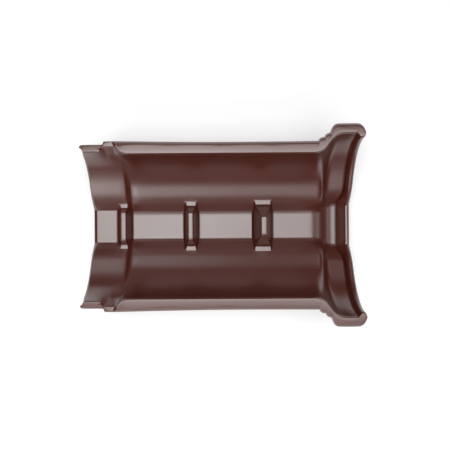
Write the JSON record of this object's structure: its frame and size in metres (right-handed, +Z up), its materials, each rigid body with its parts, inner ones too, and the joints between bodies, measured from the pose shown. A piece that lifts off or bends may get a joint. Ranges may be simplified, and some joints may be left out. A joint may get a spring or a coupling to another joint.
{
  "type": "clay ridge tile",
  "caption": "Fired clay ridge tile lying hollow side up: a trough with a flat crown strip, cross ribs inside, a thin spigot tail, long flat rims and a beaded, flared socket collar.",
  "frame": {"origin": "on the floor, under the middle of the bounding box", "axes": "+X along the tile from the thin tail to the flared collar, +Y across, +Z up out of the hollow"},
  "size_m": [0.4058, 0.2846, 0.1285],
  "materials": {
    "clay": "semi-gloss dark brown engobe over fired clay"
  },
  "bodies": {
    "root": {"ridge_tile": "clay"}
  },
  "joints": []
}
